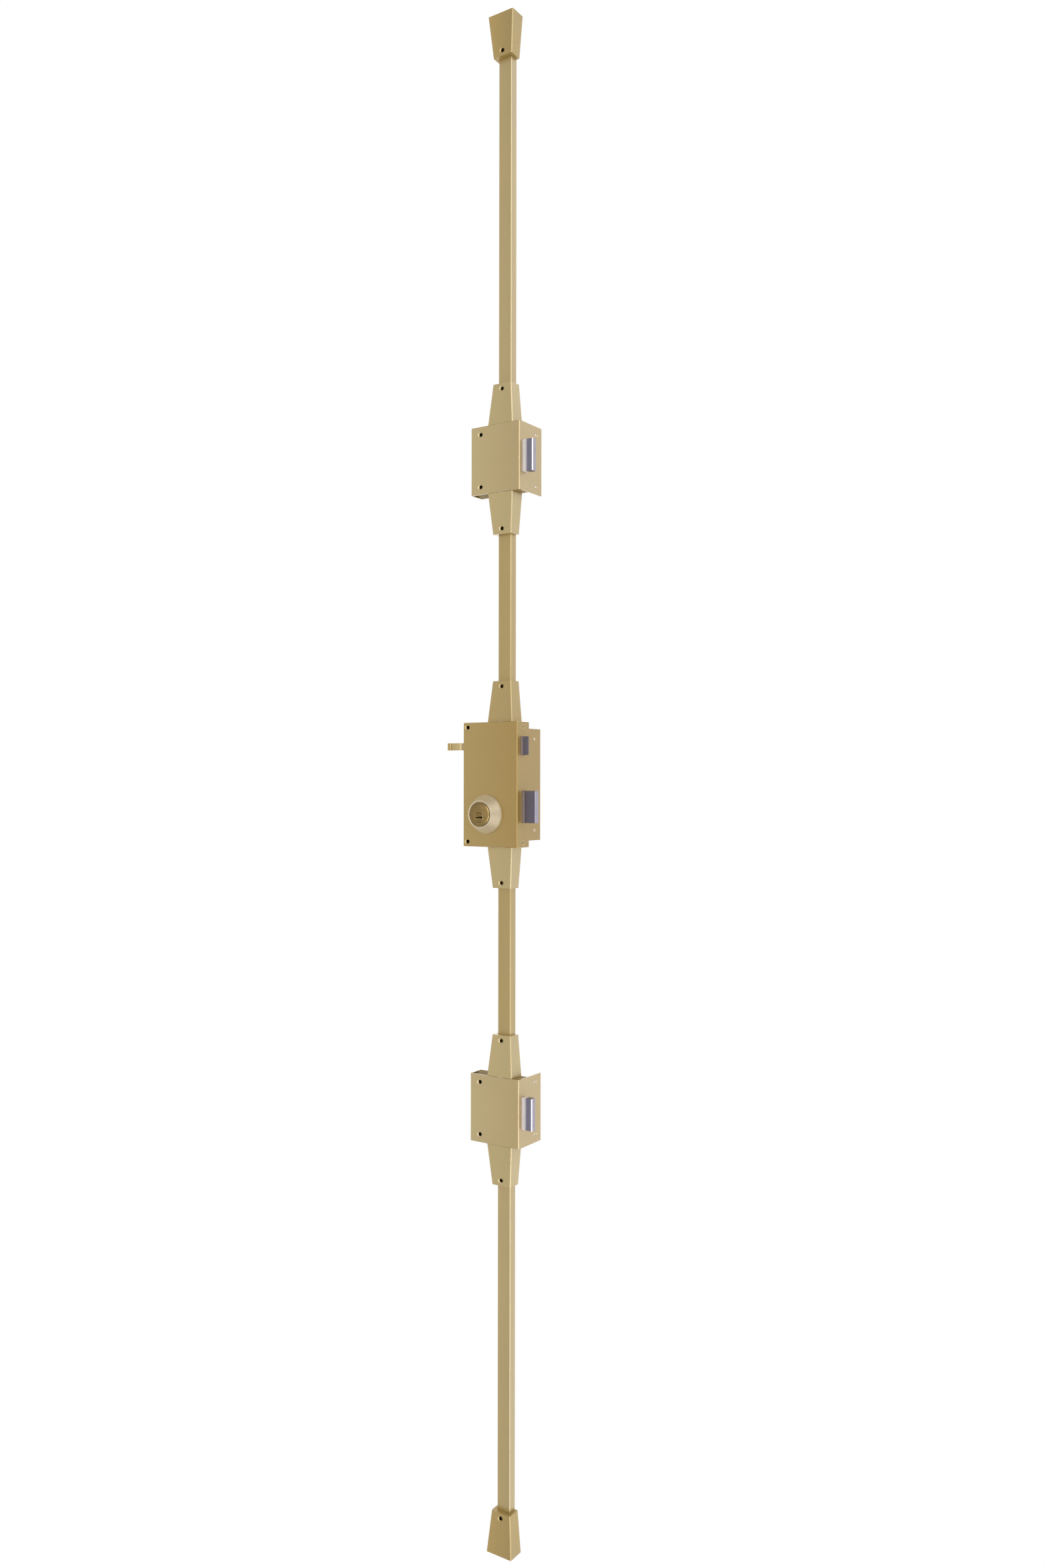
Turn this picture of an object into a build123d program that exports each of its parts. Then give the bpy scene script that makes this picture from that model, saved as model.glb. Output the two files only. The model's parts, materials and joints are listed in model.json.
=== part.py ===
"""Five-point rim lock for a door leaf.

A centre case holds the key cylinder, the dead bolt and the spring latch. Two
rods run from it up and down the door, drive a bolt in each side box, and reach
past the end caps into the door frame.

The origin is the key's axis where it meets the door face. +X runs to the door's
edge, -Y into the room and +Z up. Sizes are in millimetres. "Depth" is a distance
out from the door face into the room, so it is minus Y.
"""
import os
from math import acos, atan2, cos, degrees, hypot, pi, radians, sin, tan

from build123d import *

# The lock on its door
backset = 50.0  # key axis to the outer face of the plates on the door's edge
lock_height = 2030.0  # outer end of one end cap to the other
box_spacing = 430.0  # middle of each side box from the middle of the case
rod_x = 19.0  # centre line of the rods and of all their covers
sheet = 1.5  # steel sheet of the case and the boxes
bend = 1.4  # outer radius where a sheet is folded

# Clearances
seat_gap = 0.2  # fixed pieces that drop into each other
slide_gap = 0.3  # a slide and what guides it, each side
end_gap = 0.6  # a slide at the end of its travel and what stops it
pivot_gap = 0.05  # a shaft in its bore, on the radius
press_gap = 0.02  # a riveted or pressed shank in its hole, on the radius
cover_gap = 0.3  # between a tapered cover and its box

# Centre case
case_width = 87.0
case_height = 165.0
case_depth = 27.5
case_drop = 39.4  # key axis down to the bottom of the case
tongue_height = 147.5  # plate on the door's edge
tongue_reach = 27.5  # how far that plate runs past the door face
case_screw_inset_x = 6.9
case_screw_inset_z = 6.5
tongue_screw_spacing = 121.0
tongue_screw_reach = 14.8
side_screw_spacing = 152.0
side_screw_depth = 14.0

# Side boxes
box_width = 77.5
box_height = 90.0
box_depth = 23.5
plate_reach = 29.5
box_screw_inset_x = 15.3
box_screw_spacing = 69.5
plate_screw_spacing = 69.0
plate_screw_reach = 17.2
flange_notch = 6.0  # cut from the left front corner of the box's end flanges
flange_notch_depth = 11.0

# Countersunk holes that take the fitter's wood screws
screw_hole_r = 2.6  # fronts of the case, the boxes and the tapered covers
sink_r = 4.2
small_hole_r = 1.8  # edge plates and saddles
small_sink_r = 2.7
sink_angle = 120.0
pillar_r = 4.0  # spacers round the front screws

# Cross-head screws that close the case
side_screw_r = 1.9
side_screw_head_r = 3.4
side_screw_length = 9.0
recess_width = 0.8
recess_length = 3.6
recess_depth = 0.9
lug_height = 10.0
lug_depth = 20.0

# Gear train: key pinion, reduction gear and the rack pinion behind it
axle_rise = 6.2  # reduction gear's axle above the key axis
key_teeth = 10
gear_teeth = 30
rack_teeth = 10
key_turns = 2
pressure_angle = radians(25.0)
addendum_share = 0.8
dedendum_share = 1.0
backlash = 0.12
flank_steps = 4
gear_thick = 3.4
gear_bore_r = 2.05
hub_r = 4.3

# Layers, as depths from the door face
rod_back = 2.2
rod_thick = 4.0
lap_thick = 3.5  # plates riveted on the front of the rods
gear_back = 17.7

# Rods
rod_width = 14.0
rod_overrun = 10.0  # past the end caps when locked
rod_tip_chamfer = 1.5
upper_rod_start = 69.0  # from the key axis
lower_rod_start = 44.0
rack_width = 6.0
upper_rack_foot = 1.5
upper_lap_start = 57.0
upper_lap_end = 83.0
lower_rack_head = 13.5
lower_lap_start = 32.0
lower_lap_end = 58.0
lower_lap_left = 15.6
rivet_r = 2.0
rivet_offset = 3.8

# Dead bolt
dead_height = 42.0
dead_drop = 7.0  # key axis down to the bolt's lower edge
dead_front = 15.9
dead_thick = 9.0
dead_reach = 20.5  # past the edge plate when locked
dead_tail_back = 8.0
dead_tail_thick = 4.6
dead_tail_length = 61.0
dead_head_inside = 3.0
guide_post_x = -7.0
guide_post_z = 24.0
guide_post_r = 3.0
guide_head_r = 4.6
guide_head_thick = 1.2

# Spring latch and its pull
latch_z = 94.0
latch_height = 24.0
latch_front = 19.3
latch_thick = 12.0
latch_reach = 12.0
latch_nose = 1.5
latch_nose_r = 0.6
latch_inside = 10.0
latch_tail_length = 18.5
latch_tail_height = 14.0
latch_peg_r = 1.8
latch_peg_length = 6.0
pull_thick = 2.0
pull_height = 9.8
pull_reach = 29.8  # past the case's left side
pull_step = 3.2
pull_curl_r = 2.6
latch_rivet_r = 1.5
spring_r = 2.5
spring_wire_r = 0.45
spring_turns = 9
spring_depth = 10.3
bracket_x = 6.5
bracket_height = 20.0
bracket_foot = 16.0
bracket_depth = 19.0

# Key cylinder
cylinder_rise = 4.0  # round body's axis above the key axis
cylinder_face = 43.0  # depth of its face
flange_r = 15.6
flange_thick = 2.5
body_r = 14.4
neck_r = 11.5
neck_end = 23.2
rose_base_r = 26.6
rose_rim_r = 18.5
rose_recess_r = 16.5
rose_depth = 15.0
nut_r = 15.0
nut_thick = 2.4
nut_notch = 3.0
plug_r = 6.5
plug_proud = 0.3
plug_tail_r = 3.0
plug_tail_flat = 2.3
keyway_width = 10.4
keyway_height = 2.4
keyway_floor = 25.5
pin_count = 5
pin_spacing = 2.6
first_pin_depth = 39.2
pin_bore_r = 1.1
pin_gap = 0.05
driver_length = 3.9
chamber_cap_thick = 1.6
circlip_thick = 0.7
circlip_width = 2.4
circlip_opening = 3.0
tail_bush_r = 4.8
tail_bush_wall = 2.2
tail_bush_length = 6.0
tail_slot_width = 7.4
tail_slot_height = 2.4
tail_slot_depth = 6.0

# Side-box bolts and the slotted plates that drive them
side_bolt_height = 42.0
side_bolt_front = 16.3
side_bolt_thick = 9.0
side_bolt_travel = 16.0
side_tail_height = 28.0
side_tail_thick = 4.6
side_tail_left = -9.5
side_head_inside = 7.0
bolt_chamfer = 1.0
bolt_edge_chamfer = 0.6  # long edges of every bolt's front
drive_pin_r = 3.0
drive_pin_gap = 0.1
cam_wall = 4.0
cam_right = 7.5  # past the rod line
side_post_x = -8.5

# Rod covers: straight channels and tapered end pieces
channel_width = 20.0
channel_depth = 12.0
channel_wall = 1.2
taper_length = 54.0
taper_wide = 39.2
taper_wide_depth = 23.2
taper_narrow = 29.0
taper_narrow_depth = 18.5
taper_wall = 1.2
taper_screw_inset = 7.0
saddle_wall = 1.5
saddle_start = 2.4
saddle_front_length = 9.6
saddle_side_length = 28.0
saddle_base_start = 13.0
saddle_base_end = 45.0
saddle_first_screw = 31.0
saddle_screw_spacing = 10.0
saddle_thread_r = 2.4
rod_guide_start = 14.0
rod_guide_length = 12.0
rod_guide_depth = 12.0

# Places that follow from these sizes
case_left = backset - case_width
case_bottom = -case_drop
case_top = case_height - case_drop
middle = (case_top + case_bottom) / 2
box_left = backset - box_width
rod_front = rod_back + rod_thick
lap_front = rod_front + lap_thick
rod_left = rod_x - rod_width / 2
rod_right = rod_x + rod_width / 2
inner_front = case_depth - sheet

# Gear sizes and the travel of two key turns
centre_distance = hypot(rod_x, axle_rise)
gear_module = 2 * centre_distance / (key_teeth + gear_teeth)
addendum = addendum_share * gear_module
dedendum = dedendum_share * gear_module
rack_pitch_r = gear_module * rack_teeth / 2
tooth_pitch = pi * gear_module
travel = key_turns * 2 * pi * key_teeth / gear_teeth * rack_pitch_r
gear_line = degrees(atan2(axle_rise, rod_x))  # from the key axis to the axle
upper_pitch_x = rod_x - rack_pitch_r
lower_pitch_x = rod_x + rack_pitch_r
dead_pitch_z = axle_rise + rack_pitch_r

os.makedirs("parts", exist_ok=True)


def save(piece, label):
    """Names a finished piece and writes its file."""
    piece.part.label = label
    export_step(piece.part, f"parts/{label}.step")


def front_plane(x, depth, z):
    """A plane at that depth, seen from the room: local x is X and local y is Z."""
    return Plane(origin=(x, -depth, z), x_dir=(1, 0, 0), z_dir=(0, -1, 0))


def slab(x, depth, z, mode=Mode.ADD):
    """A box between two values each of x, depth and z, in the open part."""
    with Locations(((x[0] + x[1]) / 2, -(depth[0] + depth[1]) / 2, (z[0] + z[1]) / 2)):
        Box(x[1] - x[0], depth[1] - depth[0], abs(z[1] - z[0]), mode=mode)


def rod_along_y(x, z, radius, depth, mode=Mode.ADD):
    """A cylinder square to the door between two depths, in the open part."""
    with Locations((x, -(depth[0] + depth[1]) / 2, z)):
        Cylinder(radius, depth[1] - depth[0], rotation=(90, 0, 0), mode=mode)


def half_angle(radius, teeth):
    """Half of a tooth's angle at a radius, from the involute of its base circle."""
    pitch_r = gear_module * teeth / 2
    base_r = pitch_r * cos(pressure_angle)
    angle = acos(min(1.0, base_r / radius))
    at_pitch = pi / (2 * teeth) - backlash / (2 * pitch_r)
    return at_pitch + tan(pressure_angle) - pressure_angle - tan(angle) + angle


def gear_face(teeth, first_tooth):
    """A gear's root circle and teeth in the open sketch, first_tooth in degrees."""
    pitch_r = gear_module * teeth / 2
    root_r = pitch_r - dedendum
    tip_r = pitch_r + addendum
    start_r = max(root_r, pitch_r * cos(pressure_angle))
    radii = [start_r + (tip_r - start_r) * i / flank_steps for i in range(flank_steps + 1)]
    flank = [(r, half_angle(r, teeth)) for r in radii]
    side = [(root_r - dedendum / 2, flank[0][1])] + flank
    outline = [(r * cos(a), r * sin(a)) for r, a in side]
    outline += [(r * cos(a), -r * sin(a)) for r, a in reversed(side)]
    Circle(root_r)
    with PolarLocations(0, teeth, start_angle=first_tooth):
        Polygon(*outline, align=None)


def rack_tooth():
    """One rack tooth: x along the rack, y out of its pitch line."""
    foot = -dedendum * 1.2
    half_pitch = tooth_pitch / 4 - backlash / 2
    half_foot = half_pitch - foot * tan(pressure_angle)
    half_tip = half_pitch - addendum * tan(pressure_angle)
    return [(-half_foot, foot), (half_foot, foot), (half_tip, addendum), (-half_tip, addendum)]


def sunk_hole(place, thick, hole_r=screw_hole_r, head_r=sink_r):
    """A countersunk screw hole through a sheet, from the given outer plane."""
    with Locations(place):
        CounterSinkHole(hole_r, head_r, depth=2 * thick, counter_sink_angle=sink_angle)


# Case cover: front, four sides and the plate on the door's edge, in one sheet
case_screw_x = case_left + case_screw_inset_x
case_screw_z = [case_bottom + case_screw_inset_z, case_top - case_screw_inset_z]
side_screw_z = [middle - side_screw_spacing / 2, middle + side_screw_spacing / 2]
tongue_screw_z = [middle - tongue_screw_spacing / 2, middle + tongue_screw_spacing / 2]
pull_depth = (latch_front - pull_thick - 3.8, latch_front - 3.8)
dead_z = (-dead_drop, dead_height - dead_drop)
dead_depth = (dead_front - dead_thick, dead_front)
latch_depth = (latch_front - latch_thick, latch_front)
rack_window_x = (upper_pitch_x - rack_width - slide_gap, lower_pitch_x + rack_width + slide_gap)

with BuildPart() as case_cover:
    slab((case_left, backset), (0, case_depth), (case_bottom, case_top))
    fillet(case_cover.edges().filter_by(Axis.Z).group_by(Axis.Y)[0], bend)
    fillet(case_cover.edges().filter_by(Axis.X).group_by(Axis.Y)[0], bend)
    slab(
        (case_left + sheet, backset - sheet),
        (-1, inner_front),
        (case_bottom + sheet, case_top - sheet),
        mode=Mode.SUBTRACT,
    )
    slab(
        (backset - sheet, backset),
        (-tongue_reach, sheet),
        (middle - tongue_height / 2, middle + tongue_height / 2),
    )
    rod_along_y(0, cylinder_rise, neck_r + seat_gap, (inner_front - 1, case_depth + 1), mode=Mode.SUBTRACT)
    for z in case_screw_z:
        sunk_hole(front_plane(case_screw_x, case_depth, z), sheet)
    for z in tongue_screw_z:
        edge_place = Plane(origin=(backset, tongue_screw_reach, z), z_dir=(1, 0, 0))
        sunk_hole(edge_place, sheet, small_hole_r, small_sink_r)
    for z in side_screw_z:
        with Locations(Plane(origin=(backset, -side_screw_depth, z), z_dir=(1, 0, 0))):
            CounterSinkHole(
                side_screw_r + seat_gap,
                side_screw_head_r + seat_gap / 2,
                depth=2 * sheet,
                counter_sink_angle=90,
            )
    slab(
        (backset - 2 * sheet, backset + sheet),
        (dead_depth[0] - slide_gap, dead_depth[1] + slide_gap),
        (dead_z[0] - slide_gap, dead_z[1] + slide_gap),
        mode=Mode.SUBTRACT,
    )
    slab(
        (backset - 2 * sheet, backset + sheet),
        (latch_depth[0] - slide_gap, latch_depth[1] + slide_gap),
        (latch_z - latch_height / 2 - slide_gap, latch_z + latch_height / 2 + slide_gap),
        mode=Mode.SUBTRACT,
    )
    slab(
        (case_left - sheet, case_left + 2 * sheet),
        (pull_depth[0] - slide_gap, pull_depth[1] + slide_gap),
        (latch_z - pull_height / 2 - slide_gap, latch_z + pull_height / 2 + slide_gap),
        mode=Mode.SUBTRACT,
    )
    slab(
        rack_window_x,
        (sheet, lap_front + slide_gap),
        (case_bottom - sheet, case_top + sheet),
        mode=Mode.SUBTRACT,
    )
save(case_cover, "case_cover")

# Case base: back plate with a lug for each cross-head screw
base_right = backset - sheet - seat_gap
with BuildPart() as case_base:
    slab(
        (case_left + sheet + seat_gap, base_right),
        (0, sheet),
        (case_bottom + sheet + seat_gap, case_top - sheet - seat_gap),
    )
    for z, inward in zip(side_screw_z, (1, -1)):
        edge = z - inward * (case_screw_inset_z - sheet - seat_gap)
        lug_z = sorted((edge, edge + inward * lug_height))
        slab((base_right - sheet, base_right), (0, lug_depth), lug_z)
        with Locations(Plane(origin=(base_right, -side_screw_depth, z), z_dir=(1, 0, 0))):
            Hole(side_screw_r + press_gap, depth=2 * sheet)
    for z in case_screw_z:
        rod_along_y(case_screw_x, z, screw_hole_r, (-1, 2 * sheet), mode=Mode.SUBTRACT)
    rod_along_y(0, 0, tail_bush_r + tail_bush_wall / 2, (-1, 2 * sheet), mode=Mode.SUBTRACT)
    rod_along_y(rod_x, axle_rise, gear_bore_r - pivot_gap, (-1, 2 * sheet), mode=Mode.SUBTRACT)
    rod_along_y(guide_post_x, guide_post_z, guide_post_r / 2, (-1, 2 * sheet), mode=Mode.SUBTRACT)
save(case_base, "case_base")

# Cross-head screws in the case's right side
with BuildPart() as side_screws:
    for z in side_screw_z:
        with Locations(Plane(origin=(backset, -side_screw_depth, z), z_dir=(1, 0, 0))):
            head_thick = side_screw_head_r - side_screw_r
            Cone(
                side_screw_r,
                side_screw_head_r,
                head_thick,
                align=(Align.CENTER, Align.CENTER, Align.MAX),
            )
            Cylinder(
                side_screw_r,
                side_screw_length,
                align=(Align.CENTER, Align.CENTER, Align.MAX),
            )
            for turn in (0, 90):
                Box(
                    recess_length,
                    recess_width,
                    2 * recess_depth,
                    rotation=(0, 0, turn + 35),
                    mode=Mode.SUBTRACT,
                )
save(side_screws, "side_screws")

# Spacers round the case's front screws
with BuildPart() as case_pillars:
    for z in case_screw_z:
        rod_along_y(case_screw_x, z, pillar_r, (sheet, inner_front))
        rod_along_y(case_screw_x, z, screw_hole_r, (sheet, inner_front), mode=Mode.SUBTRACT)
save(case_pillars, "case_pillars")

# Bush in the back plate that takes the outer cylinder's tail
with BuildPart() as tail_bush:
    rod_along_y(0, 0, tail_bush_r + tail_bush_wall / 2 - press_gap, (0, sheet))
    rod_along_y(0, 0, tail_bush_r + tail_bush_wall, (sheet, tail_bush_length))
    rod_along_y(0, 0, tail_bush_r, (0, tail_bush_length), mode=Mode.SUBTRACT)
save(tail_bush, "tail_bush")

# Post that guides the dead bolt's tail by its slot
dead_tail_front = dead_tail_back + dead_tail_thick
with BuildPart() as bolt_guide_post:
    rod_along_y(guide_post_x, guide_post_z, guide_post_r / 2 - press_gap, (0, sheet))
    rod_along_y(guide_post_x, guide_post_z, guide_post_r, (sheet, dead_tail_front + slide_gap))
    rod_along_y(
        guide_post_x,
        guide_post_z,
        guide_head_r,
        (dead_tail_front + slide_gap, dead_tail_front + slide_gap + guide_head_thick),
    )
save(bolt_guide_post, "bolt_guide_post")

# Axle of the reduction gear, with its spring clip
axle_r = gear_bore_r - pivot_gap
gear_front = gear_back + gear_thick
gear_clip = (gear_front + slide_gap / 2, gear_front + slide_gap / 2 + circlip_thick)
with BuildPart() as gear_axle:
    rod_along_y(rod_x, axle_rise, axle_r - press_gap, (0, sheet))
    rod_along_y(rod_x, axle_rise, axle_r, (sheet, gear_clip[1] + 2 * circlip_thick))
    rod_along_y(rod_x, axle_rise, 1.5 * axle_r, (sheet, rod_back - slide_gap - pivot_gap))
    with BuildSketch(front_plane(rod_x, gear_clip[0], axle_rise)):
        Circle(axle_r + 1)
        Circle(axle_r * 0.8, mode=Mode.SUBTRACT)
    extrude(amount=circlip_thick, mode=Mode.SUBTRACT)
save(gear_axle, "gear_axle")


def add_circlip(inner_r):
    """An open spring ring in the open sketch, its gap to the side."""
    Circle(inner_r + circlip_width)
    Circle(inner_r, mode=Mode.SUBTRACT)
    with Locations((inner_r + circlip_width, 0)):
        Rectangle(2 * circlip_width + 2, circlip_opening, mode=Mode.SUBTRACT)


with BuildPart() as gear_circlip:
    with BuildSketch(front_plane(rod_x, gear_clip[0], axle_rise)):
        add_circlip(axle_r * 0.8)
    extrude(amount=circlip_thick)
save(gear_circlip, "gear_circlip")

# Rose: the cone round the key cylinder
rose_front = case_depth + rose_depth
recess_depth_from_door = cylinder_face - flange_thick
with BuildPart() as cylinder_rose:
    with BuildSketch(Plane(origin=(0, 0, cylinder_rise), x_dir=(1, 0, 0), z_dir=(0, 0, 1))):
        with BuildLine():
            inner = body_r + slide_gap
            rim_inner = Line((inner, -case_depth), (inner, -recess_depth_from_door))
            step = Line(rim_inner @ 1, (rose_recess_r, -recess_depth_from_door))
            recess = Line(step @ 1, (rose_recess_r, -rose_front + 0.5))
            lip = Line(recess @ 1, (rose_recess_r + 0.5, -rose_front))
            rim = Line(lip @ 1, (rose_rim_r - 0.6, -rose_front))
            shoulder = Line(rim @ 1, (rose_rim_r, -rose_front + 0.7))
            foot = (rose_base_r, -case_depth)
            flare = Line(shoulder @ 1, (rose_base_r - 0.6, -case_depth - 1.6))
            heel = ThreePointArc(flare @ 1, (rose_base_r - 0.1, -case_depth - 0.9), foot)
            Line(heel @ 1, rim_inner @ 0)
        make_face()
    revolve(axis=Axis((0, 0, cylinder_rise), (0, 1, 0)))
save(cylinder_rose, "cylinder_rose")

# Key cylinder: round body, eccentric plug bore and pin chambers
pin_depths = [first_pin_depth - i * pin_spacing for i in range(pin_count)]
with BuildPart() as cylinder_body:
    rod_along_y(0, cylinder_rise, flange_r, (cylinder_face - flange_thick, cylinder_face))
    fillet(cylinder_body.edges().group_by(Axis.Y)[0], 0.5)
    rod_along_y(0, cylinder_rise, body_r, (case_depth, cylinder_face - flange_thick))
    rod_along_y(0, cylinder_rise, neck_r, (neck_end, case_depth))
    rod_along_y(0, 0, plug_r + pivot_gap, (neck_end - 1, cylinder_face + 1), mode=Mode.SUBTRACT)
    for depth in pin_depths:
        with Locations((0, -depth, cylinder_rise)):
            Cylinder(
                pin_bore_r,
                body_r + 1,
                align=(Align.CENTER, Align.CENTER, Align.MIN),
                mode=Mode.SUBTRACT,
            )
save(cylinder_body, "cylinder_body")

# Ring nut that clamps the cylinder to the case front
with BuildPart() as cylinder_nut:
    rod_along_y(0, cylinder_rise, nut_r, (inner_front - nut_thick, inner_front))
    rod_along_y(
        0, cylinder_rise, neck_r + press_gap, (inner_front - nut_thick, inner_front), mode=Mode.SUBTRACT
    )
    with BuildSketch(front_plane(0, inner_front - nut_thick, cylinder_rise)):
        with PolarLocations(nut_r, 4, start_angle=45):
            Rectangle(nut_notch, nut_notch)
    extrude(amount=nut_thick, mode=Mode.SUBTRACT)
save(cylinder_nut, "cylinder_nut")

# Plug: turned by the key, with a flat keyway and a tail that carries the pinion
plug_front = cylinder_face + plug_proud
plug_clip = (neck_end - slide_gap / 2 - circlip_thick, neck_end - slide_gap / 2)
plug_end = plug_clip[0] - circlip_thick / 2
pinion_front = gear_front + slide_gap
pinion_back = gear_back - slide_gap
key_pin_foot = keyway_height / 2
key_pin_top = (plug_r**2 - pin_bore_r**2) ** 0.5 - pin_gap
with BuildPart() as cylinder_plug:
    rod_along_y(0, 0, plug_r, (plug_end, plug_front))
    fillet(cylinder_plug.edges().group_by(Axis.Y)[0], 0.4)
    with BuildSketch(front_plane(0, pinion_back, 0)):
        Circle(plug_tail_r)
        Rectangle(2 * plug_tail_r, 2 * plug_tail_flat, mode=Mode.INTERSECT)
    extrude(amount=plug_end - pinion_back)
    with BuildSketch(front_plane(0, keyway_floor, 0)):
        Rectangle(keyway_width, keyway_height)
        with Locations((keyway_width * 0.3, keyway_height * 0.35)):
            Rectangle(keyway_width * 0.12, keyway_height * 0.3, mode=Mode.SUBTRACT)
        with Locations((-keyway_width * 0.2, -keyway_height * 0.35)):
            Rectangle(keyway_width * 0.12, keyway_height * 0.3, mode=Mode.SUBTRACT)
    extrude(amount=plug_front - keyway_floor + 1, mode=Mode.SUBTRACT)
    with BuildSketch(front_plane(0, plug_clip[0], 0)):
        Circle(plug_r + 1)
        Circle(plug_r - 1, mode=Mode.SUBTRACT)
    extrude(amount=circlip_thick, mode=Mode.SUBTRACT)
    for depth in pin_depths:
        with Locations((0, -depth, 0)):
            Cylinder(
                pin_bore_r,
                plug_r + 1,
                align=(Align.CENTER, Align.CENTER, Align.MIN),
                mode=Mode.SUBTRACT,
            )
save(cylinder_plug, "cylinder_plug")


def pin_stack(radius, z_low, z_high):
    """One upright pin of each stack, in the open part."""
    for depth in pin_depths:
        with Locations((0, -depth, (z_low + z_high) / 2)):
            Cylinder(radius, z_high - z_low)


# Pins, shown at the shear line as the right key holds them
driver_foot = plug_r + 2 * pivot_gap
driver_top = driver_foot + driver_length
cap_top = cylinder_rise + (body_r**2 - pin_bore_r**2) ** 0.5 - pin_gap
cap_foot = cap_top - chamber_cap_thick
with BuildPart() as key_pins:
    pin_stack(pin_bore_r - pin_gap, key_pin_foot, key_pin_top)
save(key_pins, "key_pins")

with BuildPart() as driver_pins:
    pin_stack(pin_bore_r - pin_gap, driver_foot, driver_top)
save(driver_pins, "driver_pins")

with BuildPart() as pin_springs:
    for depth in pin_depths:
        with Locations((0, -depth, (driver_top + cap_foot) / 2)):
            Cylinder(pin_bore_r - 2 * pin_gap, cap_foot - driver_top)
            Cylinder(pin_bore_r / 2, cap_foot - driver_top, mode=Mode.SUBTRACT)
save(pin_springs, "pin_springs")

with BuildPart() as chamber_caps:
    pin_stack(pin_bore_r - press_gap, cap_foot, cap_top)
save(chamber_caps, "chamber_caps")

with BuildPart() as plug_circlip:
    with BuildSketch(front_plane(0, plug_clip[0], 0)):
        add_circlip(plug_r - 1 + press_gap)
    extrude(amount=circlip_thick)
save(plug_circlip, "plug_circlip")

# Pinion on the plug's tail, with a slot behind for the outer cylinder's tail
hub_end = tail_bush_length + end_gap
with BuildPart() as drive_pinion:
    with BuildSketch(front_plane(0, pinion_back, 0)):
        gear_face(key_teeth, gear_line)
    extrude(amount=pinion_front - pinion_back)
    rod_along_y(0, 0, hub_r, (hub_end, pinion_back))
    with BuildSketch(front_plane(0, pinion_back, 0)):
        Circle(plug_tail_r + press_gap)
        Rectangle(2 * plug_tail_r + 1, 2 * (plug_tail_flat + press_gap), mode=Mode.INTERSECT)
    extrude(amount=pinion_front - pinion_back, mode=Mode.SUBTRACT)
    slab(
        (-tail_slot_width / 2, tail_slot_width / 2),
        (hub_end, hub_end + tail_slot_depth),
        (-tail_slot_height / 2, tail_slot_height / 2),
        mode=Mode.SUBTRACT,
    )
save(drive_pinion, "drive_pinion")

# Reduction gear in one piece with the pinion that meets three racks
with BuildPart() as reduction_gear:
    with BuildSketch(front_plane(rod_x, gear_back, axle_rise)):
        gear_face(gear_teeth, gear_line + 180 + 180 / gear_teeth)
    extrude(amount=gear_thick)
    with BuildSketch(front_plane(rod_x, rod_back - slide_gap, axle_rise)):
        gear_face(rack_teeth, 0)
    extrude(amount=gear_back - rod_back + slide_gap)
    rod_along_y(rod_x, axle_rise, gear_bore_r, (0, gear_front + 1), mode=Mode.SUBTRACT)
save(reduction_gear, "reduction_gear")

# Dead bolt: head in the case's side, slotted tail with a rack on its lower edge
dead_head_x = backset - dead_head_inside
dead_tail_x = dead_head_x - dead_tail_length
dead_root_z = dead_pitch_z + dedendum
tooth_count = int(travel / tooth_pitch) + 5
with BuildPart() as dead_bolt:
    slab((dead_head_x, backset + dead_reach), dead_depth, dead_z)
    chamfer(dead_bolt.edges().filter_by(Axis.Z).group_by(Axis.X)[-1], bolt_chamfer)
    chamfer(dead_bolt.edges().filter_by(Axis.X).group_by(Axis.Y)[0], bolt_edge_chamfer)
    with BuildSketch(Plane.XZ.offset(dead_tail_back)):
        with Locations(((dead_tail_x + dead_head_x) / 2, (dead_root_z + dead_z[1]) / 2)):
            Rectangle(dead_head_x - dead_tail_x, dead_z[1] - dead_root_z)
        with Locations(*[(rod_x + (i - 2) * tooth_pitch, dead_pitch_z) for i in range(tooth_count)]):
            Polygon(*rack_tooth(), rotation=180, align=None)
        slot_low = guide_post_x - slide_gap
        slot_high = guide_post_x + travel + slide_gap
        with Locations(((slot_low + slot_high) / 2, guide_post_z)):
            SlotCenterToCenter(
                slot_high - slot_low, 2 * (guide_post_r + drive_pin_gap), mode=Mode.SUBTRACT
            )
    extrude(amount=dead_tail_thick)
save(dead_bolt, "dead_bolt")

# Latch: bevelled head, tail and a peg for its spring
latch_back_x = backset - latch_inside
latch_tip_x = backset + latch_reach
latch_edge = (latch_z - latch_height / 2, latch_z + latch_height / 2)
latch_tail_z = (latch_z - latch_tail_height / 2, latch_z + latch_tail_height / 2)
with BuildPart() as latch_bolt:
    with BuildSketch(Plane.XY.offset(latch_edge[0])):
        with BuildLine():
            Polyline(
                (latch_back_x, -latch_depth[0]),
                (latch_back_x, -latch_depth[1]),
                (latch_tip_x, -latch_depth[1]),
                (latch_tip_x, -latch_depth[1] + latch_nose),
                (backset + slide_gap, -latch_depth[0]),
                close=True,
            )
        make_face()
    extrude(amount=latch_height)
    fillet(latch_bolt.edges().filter_by(Axis.Z).sort_by(Axis.X)[-2:], latch_nose_r)
    chamfer(latch_bolt.edges().filter_by(Axis.X).group_by(Axis.Y)[0], bolt_edge_chamfer)
    slab(
        (latch_back_x - latch_tail_length, latch_back_x),
        (pull_depth[1], latch_depth[1]),
        latch_tail_z,
    )
    with Locations((latch_back_x - latch_peg_length / 2, -spring_depth, latch_z)):
        Cylinder(latch_peg_r, latch_peg_length, rotation=(0, 90, 0))
    for side in (0.25, 0.75):
        rod_along_y(
            latch_back_x - latch_tail_length * side,
            latch_z,
            latch_rivet_r + press_gap,
            (pull_depth[1] - 1, latch_depth[1] + 1),
            mode=Mode.SUBTRACT,
        )
save(latch_bolt, "latch_bolt")

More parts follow.
